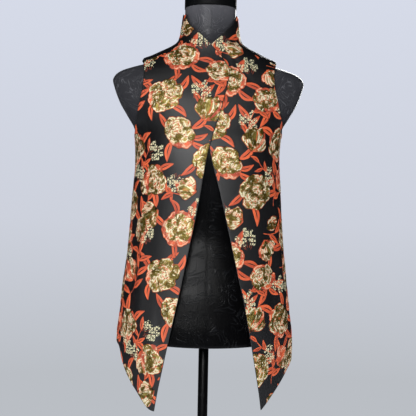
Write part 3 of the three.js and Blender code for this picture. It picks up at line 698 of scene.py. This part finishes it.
class Paint:
    """A material being made. Its constants are set on the shader; only what varies is linked."""

    def __init__(self, name, **constants):
        self.material = bpy.data.materials.new(name)
        self.material.use_nodes = True
        self.tree = self.material.node_tree
        self.shader = next(n for n in self.tree.nodes if n.type == "BSDF_PRINCIPLED")
        for socket, value in constants.items():
            self.shader.inputs[socket.replace("_", " ")].default_value = value

    def add(self, kind, settings=None, inputs=None, output=0):
        """A node: its settings, a ramp's stops among them, then its sockets. Gives one output, or all for None."""
        node = self.tree.nodes.new(kind)
        for key, value in (settings or {}).items():
            if key == "stops":
                first, *middle, last = value
                node.color_ramp.elements[0].position, node.color_ramp.elements[0].color = first
                node.color_ramp.elements[1].position, node.color_ramp.elements[1].color = last
                for place, colour in middle:
                    node.color_ramp.elements.new(place).color = colour
            else:
                setattr(node, key, value)
        for key, value in (inputs or {}).items():
            self.feed(node.inputs[key], value)
        wires = [Wire(self, socket) for socket in node.outputs]
        return wires if output is None else wires[output]

    def feed(self, socket, value):
        if isinstance(value, Wire):
            self.tree.links.new(value.socket, socket)
        else:
            socket.default_value = value

    def parts(self, vector):
        return self.add("ShaderNodeSeparateXYZ", None, {0: vector}, output=None)

    def field(self, name):
        """The three numbers that a piece carries at each point under a name."""
        return self.parts(self.add("ShaderNodeAttribute", {"attribute_name": name}, output=1))

    def flat(self, across=1, up=1):
        """The place on the flat cloth, in metres, stretched by a factor each way."""
        place = self.add("ShaderNodeUVMap", {"uv_map": "flat"})
        return self.add("ShaderNodeVectorMath", {"operation": "MULTIPLY"}, {0: place, 1: (across, up, 1)})

    def noise(self, place, scale, detail=2, distortion=0):
        inputs = {"Vector": place, "Scale": scale, "Detail": detail, "Distortion": distortion}
        return self.add("ShaderNodeTexNoise", None, inputs)

    def tiny_flowers(self, inside):
        """Small crossed flowers, scattered a few millimetres apart, fewer towards the edge of a sprig."""
        place = self.flat()
        cells = {"Vector": place, "Scale": FLOWERS_PER_METRE, "Randomness": 0.6}
        settings = {"voronoi_dimensions": "2D"}
        chance, _, _ = self.parts(self.add("ShaderNodeTexVoronoi", settings, cells, output=1))
        middle = self.add("ShaderNodeTexVoronoi", settings, cells, output=2)
        away = self.add("ShaderNodeVectorMath", {"operation": "SUBTRACT"}, {0: place, 1: middle})
        x, y, _ = self.parts(self.add("ShaderNodeVectorMath", {"operation": "SCALE"}, {0: away, "Scale": 1 / MM}))
        cross = abs(x - y).least(abs(x + y))
        reach = abs(x).most(abs(y))
        petals = (1 - cross.ease(0.7, 1.0)) * (1 - reach.ease(1.8, 2.1))
        return petals * (inside.ease(-0.5, 4) - chance * 0.9).ease(0.02, 0.06)

    def tint(self, share, first, second):
        """A colour between two: the first at a share of 0, the second at 1."""
        return self.add("ShaderNodeMix", {"data_type": "RGBA"}, {0: share, 6: first, 7: second}, output=2)

    def finish(self, relief=None, depth=0, **links):
        """Links what varies, with a relief of a depth in metres if there is one, and gives the material."""
        for socket, value in links.items():
            self.feed(self.shader.inputs[socket.replace("_", " ")], value)
        if relief is not None:
            bump = self.add("ShaderNodeBump", None, {"Distance": depth, "Height": relief})
            self.feed(self.shader.inputs["Normal"], bump)
        return self.material


def rgb(red, green, blue):
    """A colour from eight-bit numbers."""
    def linear(value):
        value /= 255
        return value / 12.92 if value < 0.04045 else ((value + 0.055) / 1.055) ** 2.4
    return linear(red), linear(green), linear(blue), 1


GROUND = rgb(9, 9, 11)
CORAL = rgb(236, 104, 54)
CORAL_DEEP = rgb(168, 56, 28)
OLIVE = rgb(112, 95, 36)
OLIVE_DARK = rgb(40, 33, 14)
GOLD = rgb(184, 164, 84)
# Cream of the roses' strokes: partly a thread colour, partly their painted highlight.
HIGHLIGHT_CREAM = rgb(252, 243, 208)
SPRIG = rgb(240, 232, 186)


def brocade_finish():
    """Gold, cream and coral threads on a black satin ground, each motif cut sharp from its field. The cream strokes
    on the roses' petals are partly cream thread and partly a painted highlight on the gold.
    """
    paint = Paint("brocade", Specular_IOR_Level=0.75)
    rim, aside, tone = paint.field("rose")
    leaf_along, leaf_across, leaf_tone = paint.field("leaf")
    in_rose, in_leaf, in_sprig = paint.field("inside")
    stem_side, in_stem, stem_tone = paint.field("stem")
    crinkle = paint.noise(paint.flat(), 300, 3, 1.4)
    patches = paint.noise(paint.flat(), 70, 2, 0.6)
    thread = paint.noise(paint.flat(1, 0.25), 1500, 1)

    stem = (1 - abs(stem_side).ease(0.75, 1.1)) * in_stem.ease(-0.5, -0.2)
    stalk = stem * stem_tone.ease(1.2, 1.6) * 0.45
    sprig = paint.tiny_flowers(in_sprig)
    slit = leaf_along.ease(0.1, 0.3) * (1 - leaf_along.ease(0.5, 0.78))
    leaf = in_leaf.ease(-0.2, 0.25) * (1 - slit * (1 - abs(leaf_across).ease(0.1, 0.2)))
    vein = (1 - abs(abs(leaf_across) - 0.52).ease(0.03, 0.1)) * crinkle.ease(0.42, 0.55)
    rose = in_rose.ease(-0.2, 0.25)

    on_petal = paint.add("ShaderNodeCombineXYZ", None, {0: aside * 0.42, 1: rim * 0.12, 2: tone * 9})
    streak = paint.noise(on_petal, 1, 2, 0.5)
    # Painted highlight: cream strokes a little in from each petal's rim and in rays further in, partly cream thread
    # and partly painted light on the gold.
    rim_highlight = rim.ease(1.3, 1.9) * (1 - rim.ease(3.2, 4.6)) * patches.ease(0.45, 0.53)
    ray_highlight = rim.ease(3, 4) * (1 - rim.ease(6, 10)) * streak.ease(0.58, 0.64)
    painted_highlight = rim_highlight.most(ray_highlight) * 0.95
    contour = (1 - rim.ease(0.8, 1.4)) * patches.ease(0.34, 0.5)
    dark_line = (1 - rim.ease(0.6, 1.2)) * (1 - contour)
    coral_petal = tone.ease(1.4, 1.6).most((1 - streak.ease(0.36, 0.43)) * patches.ease(0.42, 0.52))

    gold = paint.tint((streak * 0.4 + patches * 0.6).ease(0.42, 0.56), OLIVE, GOLD)
    gold = paint.tint(painted_highlight, gold, HIGHLIGHT_CREAM)
    gold = paint.tint(dark_line, gold, OLIVE_DARK)
    red = paint.tint(patches.ease(0.3, 0.7), CORAL_DEEP, CORAL)
    rose_colour = paint.tint(contour.most(coral_petal * (1 - painted_highlight * 0.5)), gold, red)
    shaded = leaf_tone * 0.4 + vein * 0.5 + leaf_across.ease(-0.3, 0.4) * 0.35
    leaf_colour = paint.tint(shaded.least(1), CORAL, CORAL_DEEP)

    colour = paint.tint(stem - stalk, GROUND, red)
    colour = paint.tint(leaf, colour, leaf_colour)
    colour = paint.tint(sprig, colour, SPRIG)
    colour = paint.tint(rose, colour, rose_colour)
    # Where the cream highlight is painted, the gold is made less metallic.
    metal = rose * (1 - contour) * (1 - coral_petal) * (0.78 - painted_highlight * 0.6)
    motif = rose.most(leaf).most(sprig).most(stem)
    roughness = 0.53 + motif * 0.05 - metal * 0.26
    relief = (crinkle * 0.7 + streak * 0.5) * rose + thread * 0.12 + leaf * 0.4 * (1 - vein * 0.6)
    relief = relief + sprig * 0.4 + stem * 0.3
    return paint.finish(relief, 0.0013, Base_Color=colour, Metallic=metal, Roughness=roughness)


def satin_finish():
    """Plain black satin with its seams pressed in and a line of stitches beside each."""
    paint = Paint("black_satin", Specular_IOR_Level=0.5, Sheen_Weight=0.04, Sheen_Roughness=0.4)
    weave = paint.noise(paint.flat(1, 0.2), 1700, 1)
    drape = paint.noise(paint.flat(1, 0.35), 26, 2, 0.6)
    # The satin's wear: a little lighter in soft patches that follow the drape.
    wear_and_painted_light = paint.tint(drape.ease(0.4, 0.75) * 0.4, GROUND, tuple(c * 1.8 for c in GROUND[:3]) + (1,))
    seam, _, _ = paint.field("seam")
    groove = 1 - abs(seam).ease(0.2, 0.9)
    stitched = 1 - abs(abs(seam) - 2.2).ease(0.1, 0.5)
    relief = weave * 0.2 + drape * 0.5 - groove * 1.2 - stitched * 0.25
    return paint.finish(relief, 0.0008, Base_Color=wear_and_painted_light, Roughness=0.4 + weave * 0.12)


def lining_finish():
    paint = Paint("lining", Specular_IOR_Level=0.3, Sheen_Weight=0.1)
    weave = paint.noise(paint.flat(1, 0.3), 1500, 1)
    colour = paint.tint(weave * 0.5, rgb(20, 20, 22), rgb(34, 34, 37))
    return paint.finish(weave, 0.0002, Base_Color=colour, Roughness=0.5 + weave * 0.1)


def cover_finish():
    """The form's stretch cover: black with a faint scroll woven in, and painted light: painted grey from the chest up
    and paler again on the neck, where no garment covers it.
    """
    paint = Paint("form_cover", Specular_IOR_Level=0.1, Sheen_Weight=0.03, Sheen_Roughness=0.3)
    sway = paint.noise(paint.flat(), 14, 2, 1.5)
    scroll = (sway * 55).sine()
    line = (1 - abs(scroll).ease(0.12, 0.42)) * paint.noise(paint.flat(), 30, 1).ease(0.42, 0.55)
    knit = paint.noise(paint.flat(), 1300, 1)
    seam, _, _ = paint.field("seam")
    groove = 1 - abs(seam).ease(0.2, 0.8)
    _, _, height = paint.parts(paint.add("ShaderNodeTexCoord", output=3))
    # Painted light: the cover and its scroll are painted lighter from about 1.12 m up and lighter again on the neck
    # above 1.4 m, for light the lamps do not give there.
    painted_light_high = height.ease(1.12, 1.3)
    wear_and_painted_light = paint.tint(height.ease(1.4, 1.48), rgb(50, 50, 53), rgb(84, 84, 88))
    colour = paint.tint(painted_light_high, rgb(4, 4, 5), wear_and_painted_light)
    colour = paint.tint(line * 0.6, colour, paint.tint(painted_light_high, rgb(28, 29, 31), rgb(96, 96, 99)))
    relief = knit * 0.2 + line * 0.35 - groove * 0.35
    return paint.finish(relief, 0.0006, Base_Color=colour, Roughness=0.3 - line * 0.08)


def plastic_finish():
    paint = Paint("cap_plastic", Specular_IOR_Level=0.08)
    grain = paint.noise(paint.flat(), 900, 2)
    scuff = paint.noise(paint.flat(1, 0.2), 120, 3).ease(0.58, 0.7)
    colour = paint.tint(scuff, rgb(9, 10, 11), rgb(24, 25, 27))
    return paint.finish(grain, 0.00008, Base_Color=colour, Roughness=0.5 + scuff * 0.15)


def steel_finish():
    paint = Paint("stand_steel", Specular_IOR_Level=0.3)
    grain = paint.noise(paint.flat(), 500, 2)
    scuff = paint.noise(paint.flat(), 90, 4, 0.5).ease(0.6, 0.7)
    colour = paint.tint(scuff * 0.6, rgb(7, 7, 8), rgb(34, 34, 37))
    return paint.finish(grain, 0.00012, Base_Color=colour, Metallic=0.3 + scuff * 0.2, Roughness=0.32 + scuff * 0.2)


BROCADE = brocade_finish()
SATIN = satin_finish()
LINING = lining_finish()
COVER = cover_finish()
PLASTIC = plastic_finish()
STEEL = steel_finish()


# ---- The vest ----

OUTSIDE = {"inside": -0.6, "stem": -2}   # what the fields say on a panel's turned edge
SEAM_CLEAR = 40.0                        # a distance that no seam's groove or stitches reach


def relief_of(roses, leaves, stems):
    """How proud the woven motifs stand, in millimetres."""
    petal = 0.35 + 0.65 * ramp(roses.place[:, 0], 0.2, 2.6) - 0.35 * ramp(roses.place[:, 0], 3, 12)
    rose = 0.75 * ramp(roses.inside, -0.3, 1.6) * petal
    leaf = 0.34 * ramp(leaves.inside, -0.2, 1.2) * (0.55 + 0.45 * ramp(np.abs(leaves.place[:, 1]), 0.05, 0.4))
    stem = 0.2 * ramp(stems.inside, -0.6, 0.3)
    return np.maximum(np.maximum(rose, leaf), stem)


def yoke_share(turn, z):
    """Millimetres short of the plain strip over the shoulder; the pattern stops there."""
    room = -vest_skin(turn, z)[..., 1] - curve(YOKE)(z)
    return np.where((z > YOKE[0][0]) & (z < NECK_SEAM_Z + 4), room, -FAR)


def brocade_front(name, grid, lift, cut_at):
    """A front with its woven pattern. It is cut from the length of brocade at its own place."""
    turn, z = grid
    across, up = flat_of(turn, z, vest_skin)
    points = np.stack([across.ravel() + cut_at[0], up.ravel() + cut_at[1]], axis=-1)
    roses, leaves, stems, sprigs = lay_pattern(points)
    yoke = yoke_share(turn, z).ravel()
    for field in (roses, leaves, stems, sprigs):
        field.inside = np.minimum(field.inside, yoke)
    raised = relief_of(roses, leaves, stems).reshape(turn.shape)
    inside = np.stack([roses.inside, leaves.inside, sprigs.inside], axis=-1)
    stem = np.stack([stems.place[:, 0], stems.inside, stems.place[:, 2]], axis=-1)
    fields = {"rose": roses.place, "leaf": leaves.place, "inside": inside, "stem": stem}
    fields = {key: values.reshape(*turn.shape, 3) for key, values in fields.items()}
    for edge in (np.s_[0], np.s_[-1], np.s_[:, 0], np.s_[:, -1]):
        fields["inside"][edge] = np.minimum(fields["inside"][edge], OUTSIDE["inside"])
        fields["stem"][edge][..., 1] = OUTSIDE["stem"]
    return shell(name, turn, z, [BROCADE, LINING], lift(turn, z), raised, (across, up), fields)


def no_lift(turn, z):
    return np.zeros_like(turn)


front_right = brocade_front("vest_front_right", front_grid(UPPER_EDGE, UPPER_HEM, -1), wrap_lift, (130, 40))
front_left = brocade_front("vest_front_left", front_grid(LOWER_EDGE, LOWER_HEM, 1), no_lift, (40, 95))


def nearest_seam(across, lines):
    """Signed distance to the nearest of some upright seams, each a place across for each point."""
    away = np.stack([across - line for line in lines])
    nearest = np.abs(away).argmin(axis=0)
    return np.take_along_axis(away, nearest[None], axis=0)[0]


def seam_field(distance):
    return {"seam": np.stack([distance, np.zeros_like(distance), np.zeros_like(distance)], axis=-1)}


def satin_back():
    """The back, with a seam down its middle and a shaping seam to either side."""
    turn, z = back_grid()
    flat = flat_of(turn, z, vest_skin)
    shaping = 62 + 16 * ramp(z, 1050, 1300) + 14 * (1 - ramp(z, 800, 1050))
    distance = nearest_seam(flat[0], [0 * z, shaping, -shaping])
    raised = -0.5 * bell(distance / 2.2)
    return shell("vest_back", turn, z, [SATIN, LINING], no_lift(turn, z), raised, flat, seam_field(distance))


def satin_collar():
    """The back collar, with a seam at its middle and stitches along its top."""
    turn, z = collar_grid()
    flat = flat_of(turn, z, vest_skin)
    raised = -0.3 * bell(flat[0] / 1.5)
    edge = np.where(np.abs(flat[0]) < 8, flat[0], COLLAR_TOP_Z - z - 3)
    return shell("vest_collar_back", turn, z, [SATIN, LINING], no_lift(turn, z), raised, flat, seam_field(edge))


back = satin_back()
collar_back = satin_collar()


# ---- The dress form and its stand ----

CAP_SECTION = (51.5, 68.5, 33.5, 18)   # half width, depth ahead and behind, and the widest line's place
# The cap: height over the neck's top, and how far in from the section.
CAP_PROFILE = [
    (0.3, 0.6), (0.9, 0), (5, 0), (30, 0), (33, 0.3), (35, 1.4), (36.6, 3.6), (37.5, 7), (37.9, 12), (38, 22),
    (38, 26),
]
# The pole and the base: radius and height.
POLE_PROFILE = [(9.2, 12), (10, 12.8), (10, 300), (10, 560), (10, 808), (9.6, 809)]
BASE_PROFILE = [
    (60, 0), (178, 0), (179.3, 0.5), (180, 1.6), (180, 4.4), (179.3, 5.5), (177.6, 6), (150, 7), (120, 8.8),
    (90, 11.8), (60, 14.2), (40, 15.6), (31, 16.2), (28, 17.4), (26.4, 19.6), (26, 23), (25.4, 30), (24.2, 36),
    (22.6, 38.8), (20.6, 40), (12, 40), (10.6, 39.4), (10.3, 38), (10.3, 11.7),
]


def closed_body(name, rings, finish, fields=None):
    """A full body through rings of points, closed at the bottom and top by fans."""
    rings = np.asarray(rings)
    count, sides = rings.shape[:2]
    middles = [rings[0].mean(axis=0), rings[-1].mean(axis=0)]
    points = np.concatenate([rings.reshape(-1, 3), middles])
    grid = np.arange(count * sides).reshape(count, sides)
    ahead = np.roll(grid, -1, axis=1)
    quads = np.stack([grid[:-1], ahead[:-1], ahead[1:], grid[1:]], axis=-1).reshape(-1, 4).tolist()
    low, high = count * sides, count * sides + 1
    fans = [[low, int(ahead[0, i]), int(grid[0, i])] for i in range(sides)]
    fans += [[high, int(grid[-1, i]), int(ahead[-1, i])] for i in range(sides)]
    girth = np.linalg.norm(rings - np.roll(rings, 1, axis=1), axis=-1)
    across = np.cumsum(girth, axis=1)
    rise = np.linalg.norm(np.diff(rings, axis=0), axis=-1).mean(axis=1)
    up = np.repeat(np.concatenate([[0], np.cumsum(rise)])[:, None], sides, 1)
    flat = np.concatenate([np.stack([across, up], axis=-1).reshape(-1, 2), [[0, 0], [0, up[-1, 0]]]])
    fan_values = np.full((2, 3), SEAM_CLEAR)
    laid = {key: np.concatenate([values.reshape(-1, 3), fan_values]) for key, values in (fields or {}).items()}
    return make_piece(name, points, quads + fans, [finish], flat, laid)


def dress_form():
    """The form's body, with a seam down the back and shaping seams before and behind."""
    body = [810, 811, 813, *range(817, 1300, 4)]
    neck = [*range(1300, 1400, 2), *range(1400, 1460, 4), 1461, NECK_TOP_Z]
    turn, z = np.meshgrid(np.arange(0, 360, 2.5), np.array(body + neck, float))
    rings = form_skin(turn, z)
    side = rings[..., 0]
    shaping = 58 + 26 * ramp(z, 1050, 1250) + 24 * (1 - ramp(z, 850, 1030)) - 30 * ramp(z, 1330, 1420)
    distance = nearest_seam(side, [0 * z, shaping, -shaping])
    no_middle_seam = (np.abs(side) < 20) & (rings[..., 1] < 0) & (z < 1400)
    distance = np.where(no_middle_seam, SEAM_CLEAR, distance)
    rings[..., 1] += np.sign(-rings[..., 1]) * -0.25 * bell(distance / 2)
    return closed_body("form_cover", rings, COVER, seam_field(distance))


def neck_cap():
    turn = np.arange(0, 360, 3.0)
    rings = [on_section(CAP_SECTION, turn, NECK_TOP_Z + up, -inset) for up, inset in CAP_PROFILE]
    return closed_body("cap_top", rings, PLASTIC)


def turned_piece(name, profile, finish, sides):
    """A round body about the pole's line."""
    turn = np.radians(np.arange(sides) * 360 / sides)
    rings = [np.stack([r * np.sin(turn), -r * np.cos(turn), np.full(sides, float(z))], axis=-1) for r, z in profile]
    return closed_body(name, rings, finish)


form = dress_form()
cap = neck_cap()
pole = turned_piece("stand_pole", POLE_PROFILE, STEEL, 48)
plate = turned_piece("stand_base", BASE_PROFILE, STEEL, 96)

PIECES = [
    (front_right, "front_right", "brocade"), (front_left, "front_left", "brocade"), (back, "back", "black_satin"),
    (collar_back, "collar_back", "black_satin"), (form, "form_torso", "form_cover"), (cap, "neck_cap", "cap_plastic"),
    (pole, "pole", "stand_steel"), (plate, "base", "stand_steel"),
]
for piece, node, slot in PIECES:
    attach(piece, "root")
    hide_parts(node)


# ---- Studio ----

# The camera: metres back from the pole, aside and up; degrees it looks round and is rolled; lens and sensor.
CAMERA_BACK, CAMERA_ASIDE, CAMERA_UP = 1.8, 0.0034, 1.068
CAMERA_YAW, CAMERA_ROLL = 3.5, 1.1
LENS, SENSOR = 77.5, 36
# Lamps: place, what each is aimed at, wide, tall, power, and whether it shows in glossy finishes.
LAMPS = {
    "key": ((-0.45, -2.2, 1.6), (0, 0, 1.15), 0.85, 0.7, 37, True),
    "left": ((-2.5, -0.8, 1.5), (0, 0, 1.1), 1.0, 1.2, 22, False),
    "right": ((2.5, -0.8, 1.5), (0, 0, 1.1), 1.0, 1.2, 22, False),
    "rear": ((0.6, 2.8, 2.0), (0, 0, 1.1), 1.4, 1.2, 60, True),
}
AIR, AIR_STRENGTH = rgb(206, 212, 226), 0.34
# The wall's colours from its lowest part in sight to its highest, in metres from its middle.
WALL_LOW, WALL_HIGH = -1.7, 2.6
WALL_STOPS = [(0, rgb(186, 190, 196)), (0.38, rgb(205, 209, 220)), (1, rgb(215, 220, 234))]


def floor_finish():
    paint = Paint("studio_floor", Roughness=0.8, Specular_IOR_Level=0.2)
    grain = paint.noise(paint.add("ShaderNodeTexCoord", output=3), 60, 3)
    return paint.finish(grain, 0.0004, Base_Color=paint.tint(grain, rgb(214, 216, 222), rgb(224, 226, 231)))


def wall_finish():
    """Its own light alone, so that it looks the same whatever the lamps do."""
    paint = Paint("studio_wall", Base_Color=(0, 0, 0, 1), Roughness=1, Specular_IOR_Level=0, Emission_Strength=1)
    _, _, height = paint.parts(paint.add("ShaderNodeTexCoord", output=3))
    share = (height - WALL_LOW) * (1 / (WALL_HIGH - WALL_LOW))
    return paint.finish(Emission_Color=paint.add("ShaderNodeValToRGB", {"stops": WALL_STOPS}, {0: share}))


def place_camera(scene):
    yaw, roll = math.radians(CAMERA_YAW), math.radians(CAMERA_ROLL)
    ahead = Vector((math.sin(yaw), math.cos(yaw), 0))
    right = Vector((math.cos(yaw), -math.sin(yaw), 0))
    up = Vector((0, 0, 1))
    tilted_up = up * math.cos(roll) - right * math.sin(roll)
    tilted_right = right * math.cos(roll) + up * math.sin(roll)
    camera = bpy.data.objects.new("camera", bpy.data.cameras.new("camera"))
    camera.data.lens = LENS
    camera.data.sensor_width = SENSOR
    place = -CAMERA_BACK * ahead + CAMERA_ASIDE * right + CAMERA_UP * up
    turn = Matrix((tilted_right, tilted_up, -ahead)).transposed().to_4x4()
    camera.matrix_world = Matrix.Translation(place) @ turn
    scene.collection.objects.link(camera)
    scene.camera = camera


def hang_lamp(scene, name, place, aim, wide, tall, power, glossy):
    light = bpy.data.lights.new(name, "AREA")
    light.shape = "RECTANGLE"
    light.size, light.size_y, light.energy = wide, tall, power
    holder = bpy.data.objects.new(name, light)
    holder.location = place
    holder.rotation_euler = (Vector(aim) - Vector(place)).to_track_quat("-Z", "Y").to_euler()
    holder.visible_glossy = glossy
    scene.collection.objects.link(holder)


def studio():
    scene = bpy.context.scene
    scene.view_settings.view_transform = "Standard"
    place_camera(scene)
    for name, lamp in LAMPS.items():
        hang_lamp(scene, name, *lamp)
    world = bpy.data.worlds.new("studio")
    world.use_nodes = True
    air = world.node_tree.nodes["Background"]
    air.inputs["Color"].default_value = AIR
    air.inputs["Strength"].default_value = AIR_STRENGTH
    world.cycles_visibility.glossy = False
    scene.world = world

    bpy.ops.mesh.primitive_circle_add(vertices=96, radius=2.6, fill_type="NGON", location=(0, 0, 0))
    floor = bpy.context.object
    floor.name = "floor"
    floor.data.materials.append(floor_finish())

    bpy.ops.mesh.primitive_uv_sphere_add(segments=64, ring_count=32, radius=8, location=(0, 0, 1))
    wall = bpy.context.object
    wall.name = "wall"
    wall.data.materials.append(wall_finish())
    wall.visible_diffuse = wall.visible_glossy = wall.visible_shadow = False


studio()
